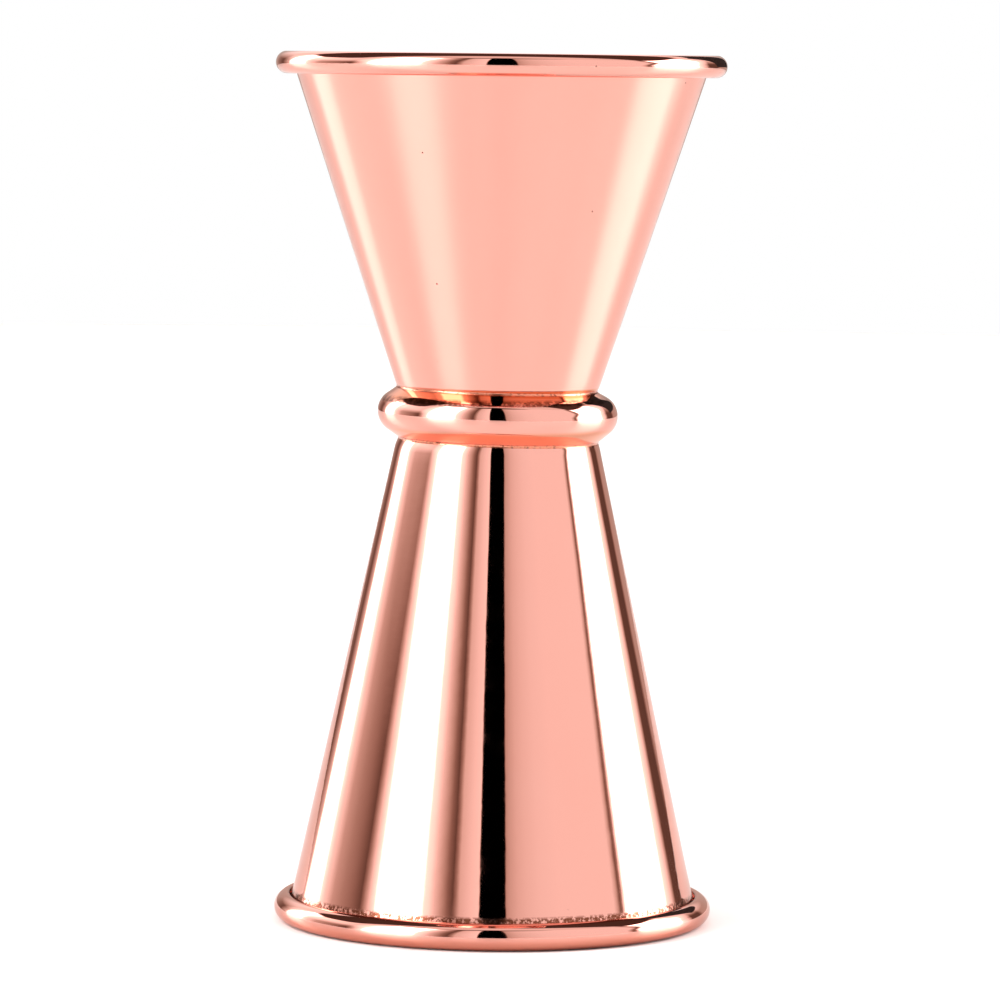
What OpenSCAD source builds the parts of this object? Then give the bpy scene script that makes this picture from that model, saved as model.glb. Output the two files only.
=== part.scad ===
// Double-ended bar jigger. Two conical sheet-metal cups stand back to back, spot-welded
// floor to floor, with a rolled collar trapped round the waist and sealed at both edges.
// Millimetres. The lower cup's rim stands on z = 0 and the axis of every piece is Z.

/* [Overall] */
// Height over both rims
height = 104.8; // [98:0.1:112]
// Height of the plane where the two cup floors meet
waist_height = 61.5; // [58:0.1:64]
// Thickness of the cups' sheet
sheet = 0.65; // [0.5:0.05:0.65]
// Outer radius of the bend between a floor and its cone
corner_r = 5.5; // [4.5:0.1:5.5]
// Gap left between the end of a curled rim and the cone
curl_gap = 0.2; // [0.1:0.05:0.3]
// Depth of the flat band polished on the crown of each rim
land_depth = 0.03; // [0.02:0.01:0.05]

/* [Upper cup] */
// Outside diameter over the curled rim
upper_rim_d = 54.2; // [50:0.1:58]
// Diameter of the curl's section
upper_bead_d = 2.7; // [2.7:0.1:3.2]
// How far the curl's centre stands outside the cone
upper_overhang = 0.72; // [0.5:0.02:0.72]
// Radius that the cone would have at the plane of the floors
upper_base_r = 11.17; // [11:0.01:11.4]
// Radius of the mouth's inside edge
upper_edge_r = 1; // [0.9:0.05:1.2]

/* [Lower cup] */
// Outside diameter over the curled rim
lower_rim_d = 52.9; // [49:0.1:57]
// Diameter of the curl's section
lower_bead_d = 3.2; // [2.8:0.1:3.4]
// How far the curl's centre stands outside the cone
lower_overhang = 0.22; // [0.1:0.02:0.4]
// Radius that the cone would have at the plane of the floors
lower_base_r = 11.5; // [11.3:0.05:11.8]
// Radius of the mouth's inside edge
lower_edge_r = 0.75; // [0.7:0.05:0.9]

/* [Collar] */
// Outside diameter at its widest
collar_d = 29; // [28:0.1:30]
// Height of its upper edge above the plane of the floors
collar_top = 2.95; // [2.8:0.05:3.1]
// Depth of its lower edge below the plane of the floors
collar_bottom = 3.15; // [3:0.05:3.3]
// Radius of the half-round outer edge
collar_edge_r = 2.6; // [2.4:0.05:2.7]
// Thickness of the collar's sheet
collar_sheet = 0.6; // [0.5:0.05:0.7]

/* [Joints] */
// Number of spot welds
weld_count = 4; // [2:1:4]
// Radius of the circle of spot welds
weld_circle_r = 5; // [4:0.5:5]
// Diameter of a weld nugget
weld_d = 3.5; // [3:0.1:3.6]
// Thickness of a weld nugget, half in each floor
weld_thickness = 0.6; // [0.4:0.1:0.8]
// Leg of the solder fillet along the collar
fillet_leg = 0.25; // [0.15:0.05:0.3]

/* [Hidden] */
$fn = 128;
plated_copper = "#f0a893";
plated_solder = "#d98f7a";
weld_steel = "#a8a5a2";
// Largest angle between two points of a rounded outline
arc_step = 6;

upper_length = height - waist_height;
lower_length = waist_height;
upper_angle = cone_angle(upper_length, upper_rim_d, upper_bead_d, upper_overhang, upper_base_r);
lower_angle = cone_angle(lower_length, lower_rim_d, lower_bead_d, lower_overhang, lower_base_r);

// Where the collar's edges touch the cups, as [radius, height above the floors]
collar_top_edge = [wall_radius(upper_base_r, upper_angle, collar_top), collar_top];
collar_bottom_edge = [wall_radius(lower_base_r, lower_angle, collar_bottom), -collar_bottom];
// Directions in which the cups' walls leave those edges, away from the collar
top_wall = 90 - wall_angle(upper_angle, collar_top);
bottom_wall = wall_angle(lower_angle, collar_bottom) - 90;
collar_centre = [collar_d / 2 - collar_edge_r, 0];
// Directions in which the collar's flanks leave the cups
top_flank = flank_angle(collar_top_edge, -1);
bottom_flank = flank_angle(collar_bottom_edge, 1);

// Centre of a curl's section, as [radius, height above the cup's own floor]
function bead_centre(length, rim_d, bead_d) =
    [(rim_d - bead_d) / 2, length + land_depth - bead_d / 2];

// Angle between a cup's wall and the axis
function cone_angle(length, rim_d, bead_d, overhang, base_r) =
    let (bead = bead_centre(length, rim_d, bead_d))
    atan((bead.x - overhang - base_r) / bead.y);

// Centre of the bend between a floor and its cone, as [radius, distance from the floor]
function bend_centre(base_r, angle) = [base_r + corner_r * (tan(angle) - 1 / cos(angle)), corner_r];

// Outer radius of a cup at a distance from its floor, on the bend or on the cone
function wall_radius(base_r, angle, distance) =
    distance < corner_r * (1 - sin(angle))
        ? bend_centre(base_r, angle).x + sqrt(pow(corner_r, 2) - pow(corner_r - distance, 2))
        : base_r + distance * tan(angle);

// Angle between a cup's wall and the axis at a distance from its floor
function wall_angle(angle, distance) = max(angle, asin(1 - distance / corner_r));

// Angle of the line from an edge of the collar that is tangent to its rounded outer edge
function flank_angle(edge, side) =
    let (reach = collar_centre - edge)
    atan2(reach.y, reach.x) - side * asin(collar_edge_r / norm(reach));

function polar(angle, length) = length * [cos(angle), sin(angle)];

function turned(point, angle) =
    [point.x * cos(angle) - point.y * sin(angle), point.x * sin(angle) + point.y * cos(angle)];

// Points along an arc; first = 1 leaves out its starting point
function arc(centre, radius, from, to, first = 0) =
    let (steps = ceil(abs(to - from) / arc_step))
    [for (i = [first : steps]) centre + polar(from + (to - from) * i / steps, radius)];

// Outline of a curled rim, with the curl's centre at the origin and the wall coming up along -Y.
// It runs from inside the curl, round the sheet's end and over the rim to the mouth's inside edge.
function rim_outline(bead_r, wall_x, edge_r) =
    let (
        wall_face = wall_x + sheet,
        end_face = wall_face + curl_gap,
        hollow_r = bead_r - sheet,
        edge = [wall_x + edge_r, sqrt(pow(bead_r - edge_r, 2) - pow(wall_x + edge_r, 2))],
        join = atan2(edge.y, edge.x)
    )
    concat(
        arc([0, 0], hollow_r, acos(wall_face / hollow_r), -acos(end_face / hollow_r)),
        arc([0, 0], bead_r, -acos(end_face / bead_r), join),
        arc(edge, edge_r, join, 180, 1)
    );

// Outline of half a cup's section, standing on its floor, before its rim is flattened
function cup_outline(length, rim_d, bead_d, overhang, base_r, edge_r) =
    let (
        angle = cone_angle(length, rim_d, bead_d, overhang, base_r),
        bead = bead_centre(length, rim_d, bead_d),
        bend = bend_centre(base_r, angle),
        rim = rim_outline(bead_d / 2, -overhang * cos(angle) - sheet, edge_r)
    )
    concat(
        [[0, 0]],
        arc(bend, corner_r, -90, -angle),
        [for (point = rim) bead + turned(point, -angle)],
        arc(bend, corner_r - sheet, -angle, -90),
        [[0, sheet]]
    );

// Outline of the collar's section, a half-round strip with both lips bearing on the cups
function collar_outline() =
    let (
        top_lip = collar_sheet / sin(180 + top_flank - top_wall),
        bottom_lip = collar_sheet / sin(180 + bottom_wall - bottom_flank)
    )
    concat(
        [collar_bottom_edge],
        arc(collar_centre, collar_edge_r, bottom_flank - 90, top_flank + 90),
        [collar_top_edge, collar_top_edge - polar(top_wall, top_lip)],
        arc(collar_centre, collar_edge_r - collar_sheet, top_flank + 90, bottom_flank - 90),
        [collar_bottom_edge - polar(bottom_wall, bottom_lip)]
    );

// Outline of a fillet in the corner at edge, between a cup's wall and the collar's flank
function fillet_outline(edge, wall_direction, flank_direction) =
    let (
        half = (wall_direction - flank_direction) / 2,
        side = sign(half),
        centre = edge + polar(flank_direction + half, fillet_leg / cos(half))
    )
    concat(
        [edge],
        arc(centre, fillet_leg * tan(abs(half)), wall_direction + side * 90, flank_direction + side * 270)
    );

// A cup standing on its floor at z = 0, with recesses for the weld nuggets
module cup(length, rim_d, bead_d, overhang, base_r, edge_r) {
    difference() {
        rotate_extrude()
            intersection() {
                polygon(cup_outline(length, rim_d, bead_d, overhang, base_r, edge_r));
                square([rim_d, length]);
            }
        nuggets();
    }
}

// Weld nuggets centred on the plane z = 0
module nuggets() {
    for (i = [0 : weld_count - 1])
        rotate(i * 360 / weld_count)
            translate([weld_circle_r, 0, -weld_thickness / 2])
                cylinder(d = weld_d, h = weld_thickness);
}

module upper_cup() {
    color(plated_copper)
        translate([0, 0, waist_height])
            cup(upper_length, upper_rim_d, upper_bead_d, upper_overhang, upper_base_r, upper_edge_r);
}

module lower_cup() {
    color(plated_copper)
        translate([0, 0, waist_height]) mirror([0, 0, 1])
            cup(lower_length, lower_rim_d, lower_bead_d, lower_overhang, lower_base_r, lower_edge_r);
}

module waist_collar() {
    color(plated_copper)
        translate([0, 0, waist_height])
            rotate_extrude() polygon(collar_outline());
}

module weld_nuggets() {
    color(weld_steel)
        translate([0, 0, waist_height]) nuggets();
}

module solder_fillet_upper() {
    color(plated_solder)
        translate([0, 0, waist_height])
            rotate_extrude() polygon(fillet_outline(collar_top_edge, top_wall, top_flank));
}

module solder_fillet_lower() {
    color(plated_solder)
        translate([0, 0, waist_height])
            rotate_extrude() polygon(fillet_outline(collar_bottom_edge, bottom_wall, bottom_flank));
}

upper_cup();
lower_cup();
waist_collar();
weld_nuggets();
solder_fillet_upper();
solder_fillet_lower();
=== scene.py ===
import math

import bpy
from mathutils import Matrix, Vector, noise


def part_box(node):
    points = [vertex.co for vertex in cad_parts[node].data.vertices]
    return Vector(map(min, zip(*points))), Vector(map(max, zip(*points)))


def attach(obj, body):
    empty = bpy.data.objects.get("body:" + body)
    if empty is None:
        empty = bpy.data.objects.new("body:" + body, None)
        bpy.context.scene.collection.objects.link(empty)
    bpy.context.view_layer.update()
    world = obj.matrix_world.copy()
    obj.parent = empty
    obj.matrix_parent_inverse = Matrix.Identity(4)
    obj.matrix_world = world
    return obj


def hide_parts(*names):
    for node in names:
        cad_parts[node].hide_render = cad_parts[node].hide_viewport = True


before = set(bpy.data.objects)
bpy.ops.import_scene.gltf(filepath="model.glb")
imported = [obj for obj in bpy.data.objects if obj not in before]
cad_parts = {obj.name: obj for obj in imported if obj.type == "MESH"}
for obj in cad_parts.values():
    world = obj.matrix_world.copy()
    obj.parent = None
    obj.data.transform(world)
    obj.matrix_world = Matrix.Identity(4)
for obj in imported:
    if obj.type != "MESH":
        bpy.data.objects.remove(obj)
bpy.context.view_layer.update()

MM = 0.001
upper_low, upper_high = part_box("upper_cup")
lower_low, lower_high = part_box("lower_cup")
collar_low, collar_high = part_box("waist_collar")

# ---------------------------------------------------------------- sizes of the sheet metal, in mm
SHEET = 0.65
CORNER_R = 5.5
LAND_DEPTH = 0.03
SHEET_END_R = 0.14
FLOORS_Z = lower_high.z / MM
UPPER = dict(
    length=(upper_high.z - upper_low.z) / MM, rim_r=upper_high.x / MM, bead_r=1.35,
    overhang=0.72, base_r=11.17, edge_r=1.0, gap=0.1, flare=0.0,
)
LOWER = dict(
    length=(lower_high.z - lower_low.z) / MM, rim_r=lower_high.x / MM, bead_r=1.6,
    overhang=0.22, base_r=11.5, edge_r=0.75, gap=0.24, flare=0.06,
)
COLLAR_R = collar_high.x / MM
COLLAR_TOP = collar_high.z / MM - FLOORS_Z
COLLAR_BOTTOM = FLOORS_Z - collar_low.z / MM
COLLAR_EDGE_R = 2.6
COLLAR_SHEET = 0.6
COLLAR_LEAN = 0.9
FILLET_LEG = 0.25
WELD_COUNT = 4
WELD_CIRCLE_R = 5.0
ELECTRODE_R = 2.3
ELECTRODE_DEPTH = 0.09
WAVINESS = 0.012

# Steps round the axis, and the steps of an outline in degrees of an arc and mm of a straight stretch
SEGMENTS = 360
ARC_STEP = 5.0
WALL_STEP = 1.35
# Steps along parts of an outline that leans with the collar, so that its points match at every lean
COLLAR_STEPS = 48
COLLAR_BACK_STEPS = 20
FLANK_STEPS = 6
FILLET_STEPS = 16


# ---------------------------------------------------------------- outlines, (radius, height) in mm
def polar(degrees, length=1.0):
    return Vector((math.cos(math.radians(degrees)), math.sin(math.radians(degrees)))) * length


def turned(point, degrees):
    return Matrix.Rotation(math.radians(degrees), 2) @ point


def arc(centre, radius, start, end, steps=None):
    steps = steps or max(2, math.ceil(abs(end - start) / ARC_STEP))
    turns = [start + (end - start) * i / steps for i in range(steps + 1)]
    return [Vector(centre) + polar(turn, radius) for turn in turns]


def straight(start, end, step=WALL_STEP):
    """Points strictly between start and end."""
    steps = max(1, round((end - start).length / step))
    return [start.lerp(end, i / steps) for i in range(1, steps)]


def rounded(before, corner, after, radius):
    """A small curve in place of a corner."""
    a, b = (before - corner).normalized(), (after - corner).normalized()
    half = a.angle(b) / 2
    reach = min(radius / math.tan(half), 0.45 * (before - corner).length, 0.45 * (after - corner).length)
    first, last = corner + a * reach, corner + b * reach
    return [first.lerp(corner, t).lerp(corner.lerp(last, t), t) for t in (0, 0.2, 0.4, 0.6, 0.8, 1)]


def acosd(x):
    return math.degrees(math.acos(x))


def rim_outline(cup, wall_x):
    """From inside the curl round the sheet's end and over the rim to the mouth's inside edge. The curl's
    centre is the origin, and the wall comes up along -Y with its outer face at wall_x + SHEET."""
    bead_r, edge_r = cup["bead_r"], cup["edge_r"]
    hollow_r = bead_r - SHEET
    face = wall_x + SHEET
    end_face = face + cup["flare"] + cup["gap"]
    edge = Vector((wall_x + edge_r, math.sqrt((bead_r - edge_r) ** 2 - (wall_x + edge_r) ** 2)))
    join = math.degrees(math.atan2(edge.y, edge.x))
    inner = arc((0, 0), hollow_r, acosd(face / hollow_r), -acosd(end_face / hollow_r))
    outer = arc((0, 0), bead_r, -acosd(end_face / bead_r), join)
    end = rounded(inner[-2], inner[-1], outer[0], SHEET_END_R)
    end += rounded(inner[-1], outer[0], outer[2], SHEET_END_R)
    return inner[:-1] + end + outer[2:] + arc(edge, edge_r, join, 180)[1:]


# How far the flare stands out, as a share of its full width, and where along the wall from the curl's edge
FLARE_SHAPE = (
    (0.0, -0.95), (0.07, -0.68), (0.25, -0.46), (0.52, -0.27), (0.8, -0.1),
    (0.95, 0.04), (1.0, 0.2), (0.9, 0.42), (0.45, 0.65), (0.0, 0.85),
)


def flare_outline(cup, wall_x):
    """The wall's outer face where it bends out just before the curl, from the cone to inside the curl."""
    face, flare, bead_r = wall_x + SHEET, cup["flare"], cup["bead_r"]
    if not flare:
        return []
    return [Vector((face + share * flare, along - bead_r)) for share, along in FLARE_SHAPE]


def cup_angle(cup):
    """The cone's angle from the axis, in degrees, and the centre of the curl's section."""
    bead = Vector((cup["rim_r"] - cup["bead_r"], cup["length"] + LAND_DEPTH - cup["bead_r"]))
    return math.degrees(math.atan((bead.x - cup["overhang"] - cup["base_r"]) / bead.y)), bead


def bend_centre(cup):
    angle = math.radians(cup_angle(cup)[0])
    return Vector((cup["base_r"] + CORNER_R * (math.tan(angle) - 1 / math.cos(angle)), CORNER_R))


def wall_contact(cup, distance):
    """The cup's outer radius at a distance from its floor, on the bend, and its wall's angle there."""
    rise = CORNER_R - distance
    radius = bend_centre(cup).x + math.sqrt(CORNER_R ** 2 - rise ** 2)
    return radius, math.degrees(math.asin(rise / CORNER_R))


def cup_outline(cup):
    """Outline of half a cup's section standing on its floor, and the index where its inside begins."""
    angle, bead = cup_angle(cup)
    cos_a = math.cos(math.radians(angle))
    bend = bend_centre(cup)
    wall_x = -cup["overhang"] * cos_a - SHEET
    rim = [bead + turned(p, -angle) for p in rim_outline(cup, wall_x)]
    flare = [bead + turned(p, -angle) for p in flare_outline(cup, wall_x)]
    bend_out = arc(bend, CORNER_R, -90, -angle)
    bend_in = arc(bend, CORNER_R - SHEET, -angle, -90)
    wall_end = (flare or rim)[0]
    outside = [Vector((0, 0))] + straight(Vector((0, 0)), bend_out[0]) + bend_out
    outside += straight(bend_out[-1], wall_end) + flare
    if flare:
        outside += straight(flare[-1], rim[0])
    inside = straight(rim[-1], bend_in[0]) + bend_in
    inside += straight(bend_in[-1], Vector((0, SHEET)), 0.3) + [Vector((0, SHEET))]
    points = outside + rim + inside
    crown = max(range(len(points)), key=lambda i: points[i].y)
    return [Vector((p.x, min(p.y, cup["length"]))) for p in points], crown


def collar_geometry(lift=0.0):
    """Edges, wall and flank directions, and centre of the collar's section, with the plane of the floors at
    height 0. The whole section stands lift mm higher, and its lips still bear on the cups."""
    top_r, top_angle = wall_contact(UPPER, COLLAR_TOP + lift)
    bottom_r, bottom_angle = wall_contact(LOWER, COLLAR_BOTTOM - lift)
    top, bottom = Vector((top_r, COLLAR_TOP + lift)), Vector((bottom_r, lift - COLLAR_BOTTOM))
    centre = Vector((COLLAR_R - COLLAR_EDGE_R, lift))

    def flank(edge, side):
        reach = centre - edge
        spread = math.degrees(math.asin(COLLAR_EDGE_R / reach.length))
        return math.degrees(math.atan2(reach.y, reach.x)) - side * spread

    return top, 90 - top_angle, flank(top, -1), bottom, bottom_angle - 90, flank(bottom, 1), centre


def collar_outline(lift=0.0):
    """Outline of the collar's section, a half-round strip whose lips both bear on the cups."""
    top, top_wall, top_flank, bottom, bottom_wall, bottom_flank, centre = collar_geometry(lift)
    top_lip = COLLAR_SHEET / math.sin(math.radians(180 + top_flank - top_wall))
    bottom_lip = COLLAR_SHEET / math.sin(math.radians(180 + bottom_wall - bottom_flank))
    top_in, bottom_in = top - polar(top_wall, top_lip), bottom - polar(bottom_wall, bottom_lip)
    back_r = COLLAR_EDGE_R - COLLAR_SHEET
    outer = arc(centre, COLLAR_EDGE_R, bottom_flank - 90, top_flank + 90, COLLAR_STEPS)
    inner = arc(centre, back_r, top_flank + 90, bottom_flank - 90, COLLAR_BACK_STEPS)
    rising = [bottom.lerp(outer[0], i / FLANK_STEPS) for i in range(FLANK_STEPS)]
    closing = [outer[-1].lerp(top, i / FLANK_STEPS) for i in range(1, FLANK_STEPS)]
    return rising + outer + closing + [top, top_in] + inner + [bottom_in]


def fillet_outline(edge, wall_direction, flank_direction):
    """Outline of a fillet in the corner at edge, between a cup's wall and the collar's flank."""
    half = (wall_direction - flank_direction) / 2
    side = math.copysign(1, half)
    centre = edge + polar(flank_direction + half, FILLET_LEG / math.cos(math.radians(half)))
    radius = FILLET_LEG * math.tan(math.radians(abs(half)))
    start, end = wall_direction + side * 90, flank_direction + side * 270
    return [edge] + arc(centre, radius, start, end, FILLET_STEPS)


# ---------------------------------------------------------------- revolved meshes
def ramp(value, start, end):
    """How far value is from start to end, from 0 to 1; end may be less than start."""
    return min(1.0, max(0.0, (value - start) / (end - start)))


def spun_waviness(height, azimuth, seed, amount):
    """Offset of a hand-finished wall from its true surface, in mm, longer along the wall than round it."""
    place = Vector((math.cos(azimuth) * 1.7, math.sin(azimuth) * 1.7, height * 0.045 + seed))
    slow = noise.noise(place)
    quick = noise.noise(Vector((math.cos(azimuth) * 4.5, math.sin(azimuth) * 4.5, height * 0.16 + seed)))
    return amount * (slow + 0.3 * quick)


def electrode_dimple(radius, azimuth):
    """How far the spot-welding electrodes pressed the floor in, in mm."""
    depth = 0.0
    for i in range(WELD_COUNT):
        at = polar(i * 360 / WELD_COUNT, WELD_CIRCLE_R)
        away = (polar(math.degrees(azimuth), radius) - at).length
        if away < ELECTRODE_R:
            depth = max(depth, ELECTRODE_DEPTH * (1 - (away / ELECTRODE_R) ** 4))
    return depth


def revolve(name, outline, place, segments=SEGMENTS, offset=None):
    """A closed mesh turned round Z. place maps (radius, height) in mm to (radius, z) in mm, and
    offset(index, point, azimuth) gives each point's radial and axial shift in mm."""
    verts, rings = [], []
    for index, point in enumerate(outline):
        if point.x < 1e-6:
            radius, z = place(point)
            rings.append([len(verts)])
            verts.append((0, 0, z * MM))
            continue
        ring = []
        for i in range(segments):
            azimuth = 2 * math.pi * i / segments
            shift = offset(index, point, azimuth) if offset else Vector((0, 0))
            radius, z = place(point + shift)
            ring.append(len(verts))
            verts.append((radius * math.cos(azimuth) * MM, radius * math.sin(azimuth) * MM, z * MM))
        rings.append(ring)
    faces, bands = [], []
    closed = outline[0].x > 1e-6
    for k in range(len(rings) if closed else len(rings) - 1):
        a, b = rings[k], rings[(k + 1) % len(rings)]
        for i in range(segments):
            j = (i + 1) % segments
            if len(a) == 1:
                faces.append((a[0], b[j], b[i]))
            elif len(b) == 1:
                faces.append((a[i], a[j], b[0]))
            else:
                faces.append((a[i], a[j], b[j], b[i]))
            bands.append(k)
    mesh = bpy.data.meshes.new(name)
    mesh.from_pydata(verts, [], faces)
    mesh.validate()
    mesh.update()
    if sum(f.normal.dot(f.center) * f.area for f in mesh.polygons) < 0:
        mesh.flip_normals()
    mesh.shade_smooth()
    obj = bpy.data.objects.new(name, mesh)
    bpy.context.scene.collection.objects.link(obj)
    return obj, bands


def sharpen(obj, degrees):
    obj.data.set_sharp_from_angle(angle=math.radians(degrees))


# ---------------------------------------------------------------- materials
COPPER = (0.965, 0.44, 0.355)
# Painted shade: the deeper orange painted on the lower side of the foot's curl
PAINTED_FOOT_SHADE = (0.76, 0.25, 0.16, 1)
# Painted shade and bounced light: the deeper orange painted in the crease above the collar
PAINTED_CREASE_SHADE = (0.8, 0.27, 0.13, 1)
# Painted reflection: the deeper orange of light bounced off the lower cup, painted on the collar's
# underside
PAINTED_UNDERSIDE_REFLECTION = (0.93, 0.39, 0.25, 1)
SOIL = (0.2, 0.05, 0.02, 1)
PIT = (0.16, 0.05, 0.035, 1)
# Distance from the axis to the centre of the foot's curl, in mm
FOOT_CURL_R = LOWER["rim_r"] - LOWER["bead_r"]


def new_material(name):
    material = bpy.data.materials.new(name)
    material.use_nodes = True
    nodes = material.node_tree.nodes
    nodes.clear()
    output = nodes.new("ShaderNodeOutputMaterial")
    shader = nodes.new("ShaderNodeBsdfPrincipled")
    material.node_tree.links.new(shader.outputs["BSDF"], output.inputs["Surface"])
    return material, shader


class Graph:
    """Short calls for building a material's nodes."""

    def __init__(self, material):
        self.tree = material.node_tree

    def node(self, kind, inputs=None, **settings):
        made = self.tree.nodes.new(kind)
        for key, value in settings.items():
            setattr(made, key, value)
        for key, value in (inputs or {}).items():
            if isinstance(value, bpy.types.NodeSocket):
                self.tree.links.new(value, made.inputs[key])
            else:
                made.inputs[key].default_value = value
        return made

    def math(self, operation, a, b=0.0, c=0.0):
        made = self.tree.nodes.new("ShaderNodeMath")
        made.operation = operation
        for socket, value in zip(made.inputs, (a, b, c)):
            if isinstance(value, bpy.types.NodeSocket):
                self.tree.links.new(value, socket)
            else:
                socket.default_value = value
        return made.outputs[0]

    def millimetres(self):
        """The point's place on the object, in mm."""
        place = self.node("ShaderNodeTexCoord").outputs["Object"]
        scaled = self.node("ShaderNodeVectorMath", {0: place, 1: (1 / MM,) * 3}, operation="MULTIPLY")
        return scaled.outputs[0]

    def noise(self, vector, scale, detail=2.0, roughness=0.5):
        settings = {"Vector": vector, "Scale": scale, "Detail": detail, "Roughness": roughness}
        return self.node("ShaderNodeTexNoise", settings).outputs[0]

    def ramp(self, value, *stops):
        made = self.node("ShaderNodeMapRange", {"Value": value}, clamp=True)
        for key, number in zip(("From Min", "From Max", "To Min", "To Max"), stops):
            made.inputs[key].default_value = number
        return made.outputs[0]

    def band(self, value, start, full, fading, end):
        """1 from full to fading, and 0 before start and after end."""
        rise = self.ramp(value, start, full, 0.0, 1.0)
        return self.math("MULTIPLY", rise, self.ramp(value, end, fading, 0.0, 1.0))

    def mix(self, factor, a, b):
        made = self.node("ShaderNodeMix", data_type="RGBA")
        for key, value in (("Factor", factor), ("A", a), ("B", b)):
            sockets = [s for s in made.inputs if s.name == key and s.enabled]
            if isinstance(value, bpy.types.NodeSocket):
                self.tree.links.new(value, sockets[0])
            else:
                sockets[0].default_value = value
        return [s for s in made.outputs if s.enabled][0]

    def radius(self, parts):
        """Distance from the axis."""
        return self.math("SQRT", self.math(
            "ADD", self.math("MULTIPLY", parts.outputs[0], parts.outputs[0]),
            self.math("MULTIPLY", parts.outputs[1], parts.outputs[1]),
        ))

    def height_rings(self, parts, scale):
        """Rings round the axis: a noise that changes only with height and distance from the axis."""
        rings = self.node("ShaderNodeCombineXYZ", {0: self.radius(parts), 1: 0.0, 2: parts.outputs[2]})
        return self.noise(rings.outputs[0], scale, 3.0, 0.6)


def stained_and_shaded_tone(g, place, height, radius):
    """The plate's colour under a thin uneven film, with painted shade on the lower side of the foot's curl,
    and a painted deeper orange for light bounced between the parts in the crease above the collar and on
    the collar's underside. Heights and distances are in mm."""
    film = g.noise(place, 0.09, 4.0, 0.6)
    tone = g.mix(film, (*COPPER, 1), (COPPER[0], COPPER[1] * 1.05, COPPER[2] * 1.07, 1))

    # Painted shade: the lower side of the foot's curl is painted a darker, deeper orange
    foot = g.ramp(height, 1.7, 0.9, 0.0, 0.75)
    foot = g.math("MULTIPLY", foot, g.ramp(radius, FOOT_CURL_R + 0.05, FOOT_CURL_R + 0.45, 0.0, 1.0))
    tone = g.mix(foot, tone, PAINTED_FOOT_SHADE)
    # Painted shade and bounced light: the crease above the collar is painted a deeper orange
    crease = g.band(height, FLOORS_Z + 1.7, FLOORS_Z + 2.1, FLOORS_Z + 3.2, FLOORS_Z + 3.4)
    tone = g.mix(g.math("MULTIPLY", crease, 0.9), tone, PAINTED_CREASE_SHADE)
    ring = g.band(height, FLOORS_Z + 1.5, FLOORS_Z + 1.7, FLOORS_Z + 2.1, FLOORS_Z + 2.4)
    streaks = g.ramp(g.noise(place, 1.1, 4.0, 0.7), 0.38, 0.54, 0.0, 0.9)
    tone = g.mix(g.math("MULTIPLY", ring, streaks), tone, SOIL)
    # Painted reflection: the collar's underside is painted a deeper orange of light bounced off the lower
    # cup
    under = g.band(height, FLOORS_Z - 3.3, FLOORS_Z - 3.15, FLOORS_Z - 1.8, FLOORS_Z - 1.4)
    under = g.math("MULTIPLY", under, g.ramp(radius, COLLAR_R - 2.2, COLLAR_R - 2.05, 0.0, 1.0))
    return g.mix(under, tone, PAINTED_UNDERSIDE_REFLECTION)


def copper_plate(name, roughness, ring_depth, smear, pit_share):
    """Polished copper plate: a clean mirror with faint turning rings, stains, painted shade under the
    foot's curl and round the collar, a few pits, and soil in the groove above the foot's curl."""
    material, shader = new_material(name)
    g = Graph(material)
    place = g.millimetres()
    shader.inputs["Metallic"].default_value = 1.0
    shader.inputs["Specular Tint"].default_value = (1.0, 0.9, 0.87, 1.0)
    parts = g.node("ShaderNodeSeparateXYZ", {0: place})
    height, radius = parts.outputs[2], g.radius(parts)
    tone = stained_and_shaded_tone(g, place, height, radius)

    groove = g.band(height, 2.0, 2.4, 3.5, 3.85)
    groove = g.math("MULTIPLY", groove, g.ramp(radius, FOOT_CURL_R + 0.05, FOOT_CURL_R - 0.25, 0.0, 1.0))
    soil = g.math("MULTIPLY", groove, g.ramp(g.noise(place, 1.9, 4.0, 0.75), 0.44, 0.5, 0.0, 0.95))
    soiled = g.mix(soil, tone, SOIL)

    pits = g.node("ShaderNodeTexVoronoi", {"Vector": place, "Scale": 0.55}, feature="F1")
    size = g.node("ShaderNodeSeparateColor", {0: pits.outputs["Color"]}).outputs[0]
    pit_r = g.ramp(size, 1 - pit_share, 1.0, 0.0, 0.075)
    pit = g.math("LESS_THAN", pits.outputs["Distance"], pit_r)
    g.tree.links.new(g.mix(pit, soiled, PIT), shader.inputs["Base Color"])

    haze = g.ramp(g.noise(place, 0.35, 5.0, 0.65), 0.45, 0.8, 0.0, smear)
    dull = g.math("ADD", g.math("MULTIPLY", pit, 0.35), g.math("MULTIPLY", groove, 0.12))
    g.tree.links.new(g.math("ADD", g.math("ADD", haze, roughness), dull), shader.inputs["Roughness"])

    rings = g.height_rings(parts, 2.2)
    ripple = g.noise(place, 0.55, 1.0, 0.5)
    turned_marks = g.node("ShaderNodeBump", {"Height": rings, "Strength": 1.0, "Distance": ring_depth * MM})
    peel = g.node(
        "ShaderNodeBump",
        {"Height": ripple, "Strength": 1.0, "Distance": 0.0035 * MM, "Normal": turned_marks.outputs[0]},
    )
    dent = g.node(
        "ShaderNodeBump",
        {"Height": pit, "Strength": 1.0, "Distance": 0.01 * MM, "Normal": peel.outputs[0]}, invert=True,
    )
    g.tree.links.new(dent.outputs[0], shader.inputs["Normal"])
    return material


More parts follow.
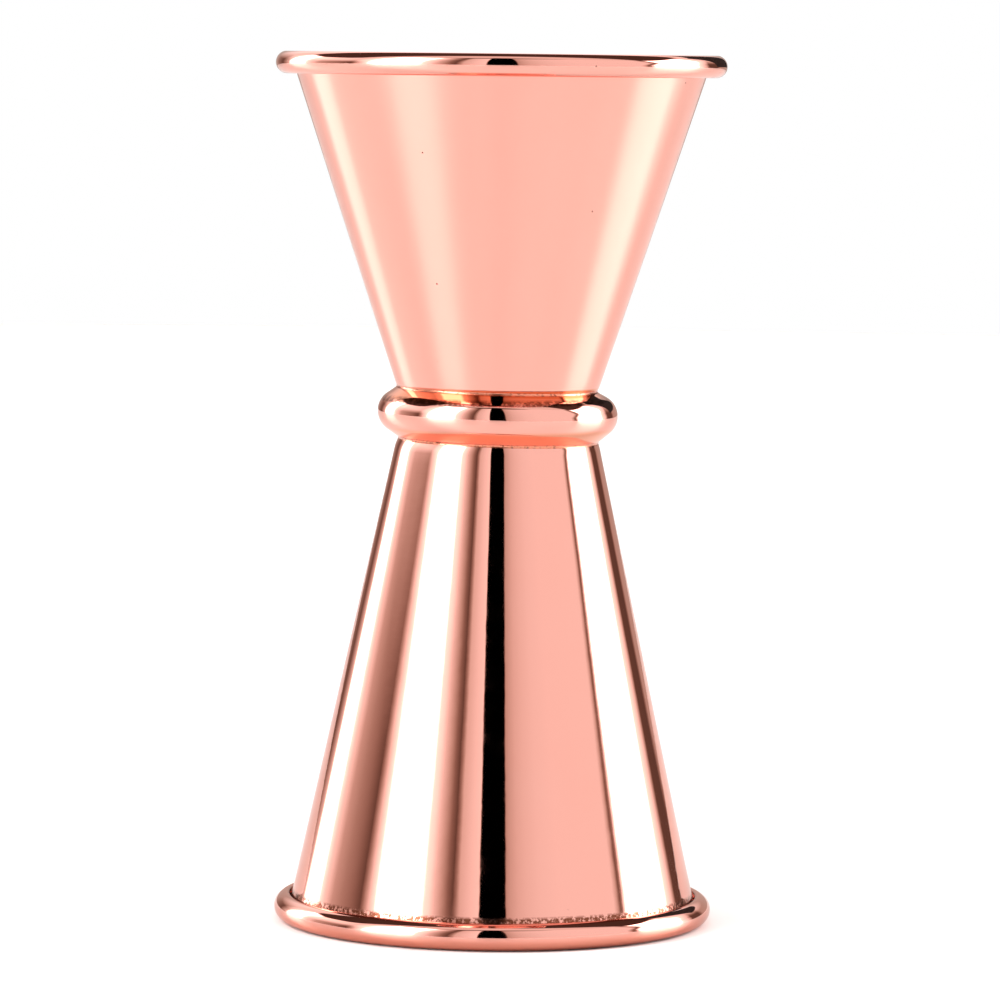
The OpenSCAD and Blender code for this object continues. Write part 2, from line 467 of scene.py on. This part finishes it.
def plated_solder():
    """Copper-plated solder in the crease: duller and browner, with polishing compound left in patches."""
    material, shader = new_material("plated_solder")
    g = Graph(material)
    place = g.millimetres()
    shader.inputs["Metallic"].default_value = 1.0
    grains = g.noise(place, 2.4, 4.0, 0.7)
    stain = g.ramp(grains, 0.52, 0.66, 0.0, 0.9)
    tone = g.mix(stain, (0.86, 0.3, 0.19, 1), (0.16, 0.035, 0.02, 1))
    g.tree.links.new(tone, shader.inputs["Base Color"])
    g.tree.links.new(g.ramp(grains, 0.3, 0.7, 0.08, 0.3), shader.inputs["Roughness"])
    bump = g.node("ShaderNodeBump", {"Height": grains, "Strength": 1.0, "Distance": 0.012 * MM})
    g.tree.links.new(bump.outputs[0], shader.inputs["Normal"])
    return material


def weld_steel():
    """Bare fused steel with heat tint."""
    material, shader = new_material("weld_steel")
    g = Graph(material)
    place = g.millimetres()
    shader.inputs["Metallic"].default_value = 1.0
    grains = g.noise(place, 1.6, 5.0, 0.6)
    g.tree.links.new(g.mix(grains, (0.52, 0.5, 0.48, 1), (0.3, 0.24, 0.2, 1)), shader.inputs["Base Color"])
    g.tree.links.new(g.ramp(grains, 0.2, 0.8, 0.35, 0.6), shader.inputs["Roughness"])
    bump = g.node("ShaderNodeBump", {"Height": grains, "Strength": 1.0, "Distance": 0.03 * MM})
    g.tree.links.new(bump.outputs[0], shader.inputs["Normal"])
    return material


mirror_plate = copper_plate("mirror_plate", roughness=0.03, ring_depth=0.0006, smear=0.05, pit_share=0.10)
inside_plate = copper_plate("inside_plate", roughness=0.07, ring_depth=0.0035, smear=0.09, pit_share=0.06)


# ---------------------------------------------------------------- pieces
# Bands of faces past a rim's highest point that still have the outside's finish
CROWN_BANDS = 6


def collar_lift(azimuth):
    """The collar was pressed on slightly askew: its left side stands higher than its right side."""
    return -COLLAR_R * math.tan(math.radians(COLLAR_LEAN)) * math.cos(azimuth)


def make_cup(name, node, cup, up, seed):
    """A cup's shell: up is 1 for the upper cup and -1 for the lower one, which hangs from the floors."""
    outline, crown = cup_outline(cup)
    length = cup["length"]

    def place(point):
        return point.x, FLOORS_Z + up * point.y

    def offset(index, point, azimuth):
        along = point.y / length
        fade = ramp(along, 0.1, 0.22) * ramp(along, 0.955, 0.875)
        shift = Vector((spun_waviness(point.y, azimuth, seed, WAVINESS) * fade, 0))
        if index > crown and abs(point.y - SHEET) < 1e-6:
            shift.y = -electrode_dimple(point.x, azimuth)
        return shift

    obj, bands = revolve(name, outline, place, offset=offset)
    sharpen(obj, 40)
    obj.data.materials.append(mirror_plate)
    obj.data.materials.append(inside_plate)
    inside_from = crown + CROWN_BANDS
    for face, band in zip(obj.data.polygons, bands):
        face.material_index = 1 if band >= inside_from else 0
    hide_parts(node)
    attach(obj, "root")
    return obj


def make_collar():
    outline = collar_outline()
    leaning = {}

    def place(point):
        return point.x, FLOORS_Z + point.y

    def offset(index, point, azimuth):
        if azimuth not in leaning:
            leaning[azimuth] = collar_outline(collar_lift(azimuth))
        return leaning[azimuth][index] - point

    obj, _ = revolve("collar_ring", outline, place, offset=offset)
    sharpen(obj, 40)
    obj.data.materials.append(mirror_plate)
    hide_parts("waist_collar")
    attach(obj, "root")
    return obj


def make_fillets(material):
    def place(point):
        return point.x, FLOORS_Z + point.y

    def section(lower, lift=0.0):
        geometry = collar_geometry(lift)
        return fillet_outline(*(geometry[3:6] if lower else geometry[0:3]))

    for name, node, lower in (
        ("crease_fillet_upper", "solder_fillet_upper", False),
        ("crease_fillet_lower", "solder_fillet_lower", True),
    ):
        leaning = {}

        def offset(index, point, azimuth):
            if azimuth not in leaning:
                leaning[azimuth] = section(lower, collar_lift(azimuth))
            return leaning[azimuth][index] - point

        obj, _ = revolve(name, section(lower), place, offset=offset)
        sharpen(obj, 50)
        obj.data.materials.append(material)
        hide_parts(node)
        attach(obj, "root")


make_cup("upper_cup_shell", "upper_cup", UPPER, 1, 3.1)
make_cup("lower_cup_shell", "lower_cup", LOWER, -1, 8.6)
make_collar()
make_fillets(plated_solder())
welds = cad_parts["weld_nuggets"]
welds.data.materials.clear()
welds.data.materials.append(weld_steel())

# ---------------------------------------------------------------- studio
STUDIO_R = 1.5
# Directions are in degrees round the object, from the camera's side to the right of the picture.
# Glow of the panels round the object: (direction, glow)
PANEL_GLOW = [
    (-180, 0.55), (-165, 0.5), (-157, 0.3), (-148, 0.15), (-143, 0.45), (-138, 0.85), (-133, 5.5),
    (-120, 5.5), (-117, 1.9), (-113, 1.25), (-105, 0.65), (-97, 0.46), (-90, 0.34), (-84, 0.2),
    (-82, 0.15), (-80, 0.36), (-78, 0.65), (-75, 1.2), (-72, 1.8), (-68, 6.5), (-44, 6.5), (-40, 1.8),
    (-37, 1.5), (-34, 1), (-30, 0.64), (-26, 0.28), (-23, 0.14), (-21, 0.4), (-19, 0.82), (-14, 0.98),
    (-7.7, 1.17), (-7.2, 0), (7.8, 0), (8.3, 0.55), (10, 0.66), (15, 0.82), (20, 0.9), (28, 0.98),
    (40, 1.03), (75, 1.04), (77.5, 0.7), (79.5, 0.18), (81, 0.4), (83, 2), (85, 7), (116, 7),
    (120, 1.8), (124, 1.35), (128, 0.75), (131, 0.13), (142, 0.12), (147, 0.5), (160, 0.5), (180, 0.55),
]
# How high the panels reach, in degrees above the horizon: (direction, elevation)
PANEL_TOP = [
    (-180, 42), (-150, 42), (-140, 36), (-115, 34), (-95, 38), (-70, 55), (-30, 60), (-8, 61), (-7, 68),
    (7.5, 68), (8.5, 61), (30, 60), (60, 57), (95, 40), (125, 42), (150, 42), (180, 42),
]
CEILING_GLOW = 0.07
STRIP_GLOW = 0.9
# How far the strip reaches forwards from above the object and its soft edge, as shares of its height
STRIP_WIDTH = 0.44
STRIP_EDGE = 0.04
# Degrees by which the right-hand panels lean away from the camera, and the glow added to those on the left
# and behind, high up
PANEL_LEAN = 8
HIGH_GLOW = 0.9
# The dark card's distance, the directions of its sides, and the heights of its edges, in metres
CARD_DISTANCE = 0.3
CARD_SIDES = (138, 165)
CARD_HEIGHTS = (0.1, 0.3)
# What the camera sees the object stand on, and the glossy table that the metal reflects instead
FLOOR_Z = -0.1 * MM
TABLE_Z = -0.05 * MM
OVERHEAD_STRENGTH = 2.0
OVERHEAD_SPREAD = 100


def between(table, direction):
    """The table's value at a direction, on straight lines between its rows."""
    for (a, value_a), (b, value_b) in zip(table, table[1:]):
        if a <= direction <= b:
            return value_a + (value_b - value_a) * (direction - a) / (b - a)
    return table[0][1]


def toward(direction, distance):
    """The place at a distance from the axis in a direction, seen from above."""
    return polar(direction - 90, distance)


def studio_glow(direction, elevation):
    """Panels round the object, a dim ceiling, and a strip light across the ceiling just in front of it.
    Higher up, the panels on the right lean round, and those on the left and behind are brighter."""
    forward = math.cos(math.radians(direction)) / math.tan(math.radians(max(elevation, 1.0)))
    strip = ramp(forward, 0.0, STRIP_EDGE) * ramp(forward, STRIP_WIDTH, STRIP_WIDTH - STRIP_EDGE)
    ceiling = CEILING_GLOW + (STRIP_GLOW - CEILING_GLOW) * strip
    top = between(PANEL_TOP, direction)
    above = ramp(elevation, top - 1, top + 1)
    high = ramp(elevation, 12, 26)
    panel = between(PANEL_GLOW, direction - PANEL_LEAN * high * ramp(direction, 60, 68))
    panel += HIGH_GLOW * high * ramp(direction, -118, -110) * ramp(direction, -70, -78)
    panel += HIGH_GLOW * high * ramp(abs(direction), 128, 140)
    return panel * (1 - above) + ceiling * above


def stage_mesh(name, verts, faces, material):
    mesh = bpy.data.meshes.new(name)
    mesh.from_pydata(verts, [], faces)
    mesh.materials.append(material)
    mesh.update()
    obj = bpy.data.objects.new(name, mesh)
    bpy.context.scene.collection.objects.link(obj)
    return obj


def glow_material(name):
    material = bpy.data.materials.new(name)
    material.use_nodes = True
    nodes, links = material.node_tree.nodes, material.node_tree.links
    nodes.clear()
    output = nodes.new("ShaderNodeOutputMaterial")
    emission = nodes.new("ShaderNodeEmission")
    glow = nodes.new("ShaderNodeAttribute")
    glow.attribute_name = "glow"
    warmth = nodes.new("ShaderNodeValToRGB")
    stops = warmth.color_ramp.elements
    stops[0].position, stops[0].color = 0.0, (1.0, 0.6, 0.45, 1)
    stops[1].position, stops[1].color = 1.0, (1.0, 1.0, 1.0, 1)
    middle = stops.new(0.5)
    middle.color = (1.0, 0.86, 0.77, 1)
    links.new(glow.outputs["Fac"], warmth.inputs["Fac"])
    links.new(warmth.outputs["Color"], emission.inputs["Color"])
    links.new(glow.outputs["Fac"], emission.inputs["Strength"])
    links.new(emission.outputs[0], output.inputs["Surface"])
    return material


def studio_dome():
    """A dome of panels and ceiling that the polished metal reflects and the camera does not see."""
    round_steps, rise_steps = 1080, 60
    verts, faces, glow = [], [], []
    for k in range(rise_steps):
        elevation = 90 * k / rise_steps
        level, height = polar(elevation, STUDIO_R)
        for i in range(round_steps):
            direction = -180 + 360 * i / round_steps
            side = toward(direction, level)
            verts.append((side.x, side.y, height))
            glow.append(studio_glow(direction, elevation))
    for k in range(rise_steps - 1):
        for i in range(round_steps):
            j = (i + 1) % round_steps
            a, b = k * round_steps, (k + 1) * round_steps
            faces.append((a + i, b + i, b + j, a + j))
    faces.append(tuple(range((rise_steps - 1) * round_steps, rise_steps * round_steps)))
    dome = stage_mesh("studio_dome", verts, faces, glow_material("studio_glow"))
    layer = dome.data.attributes.new("glow", "FLOAT", "POINT")
    layer.data.foreach_set("value", glow)
    dome.visible_camera = False
    dome.visible_shadow = False


def disc(name, radius, z, material, segments=180):
    rim = [polar(360 * i / segments, radius) for i in range(segments)]
    return stage_mesh(name, [(p.x, p.y, z) for p in rim], [tuple(range(segments))], material)


def floor_material(name, tone, roughness, gloss):
    material, shader = new_material(name)
    g = Graph(material)
    place = g.node("ShaderNodeTexCoord").outputs["Object"]
    light = tone + 0.02
    shade = g.mix(g.noise(place, 6.0, 2.0, 0.5), (tone, tone, tone, 1), (light, light, light, 1))
    g.tree.links.new(shade, shader.inputs["Base Color"])
    shader.inputs["Roughness"].default_value = roughness
    shader.inputs["Specular IOR Level"].default_value = gloss
    return material


def dark_card():
    """A black card behind the object, to the right, that the metal reflects and the camera does not see."""
    material, shader = new_material("card_black")
    shader.inputs["Base Color"].default_value = (0.004, 0.004, 0.004, 1)
    shader.inputs["Roughness"].default_value = 0.9
    a, b = (toward(direction, CARD_DISTANCE) for direction in CARD_SIDES)
    low, high = CARD_HEIGHTS
    verts = [(a.x, a.y, low), (b.x, b.y, low), (b.x, b.y, high), (a.x, a.y, high)]
    card = stage_mesh("card", verts, [(0, 1, 2, 3)], material)
    card.visible_camera = False
    card.visible_diffuse = False
    card.visible_shadow = False


studio_dome()
dark_card()
floor = disc("floor", STUDIO_R, FLOOR_Z, floor_material("floor_matt", 0.93, 0.9, 0.0))
floor.visible_glossy = False
table = disc("table_gloss", STUDIO_R, TABLE_Z, floor_material("table_gloss", 0.68, 0.33, 0.8))
table.visible_camera = False
table.visible_diffuse = False
table.visible_shadow = False

sun_data = bpy.data.lights.new("overhead", "SUN")
sun_data.energy = OVERHEAD_STRENGTH
sun_data.angle = math.radians(OVERHEAD_SPREAD)
sun = bpy.data.objects.new("overhead", sun_data)
bpy.context.scene.collection.objects.link(sun)
sun.visible_glossy = False

world = bpy.data.worlds.new("studio_air")
bpy.context.scene.world = world
world.use_nodes = True
world.node_tree.nodes["Background"].inputs["Color"].default_value = (1.0, 1.0, 1.0, 1)
world.node_tree.nodes["Background"].inputs["Strength"].default_value = 1.0

scene = bpy.context.scene
scene.view_settings.view_transform = "Standard"
scene.view_settings.look = "None"

# ---------------------------------------------------------------- camera
CAMERA_DISTANCE = 0.69
CAMERA_PITCH = 4.471
CAMERA_ROLL = 0.674
AIM_HEIGHT = 0.051005
AIM_RIGHT = 0.0004
LENS = 205.65

camera_data = bpy.data.cameras.new("camera")
camera_data.lens = LENS
camera_data.sensor_width = 36.0
camera_data.clip_start = 0.01
camera = bpy.data.objects.new("camera", camera_data)
scene.collection.objects.link(camera)
pitch = math.radians(CAMERA_PITCH)
backwards = Vector((0, -math.cos(pitch), math.sin(pitch)))
camera.location = Vector((AIM_RIGHT, 0, AIM_HEIGHT)) + backwards * CAMERA_DISTANCE
camera.rotation_mode = "QUATERNION"
facing = backwards.to_track_quat("Z", "Y").to_matrix()
camera.rotation_quaternion = (facing @ Matrix.Rotation(math.radians(CAMERA_ROLL), 3, "Z")).to_quaternion()
scene.camera = camera
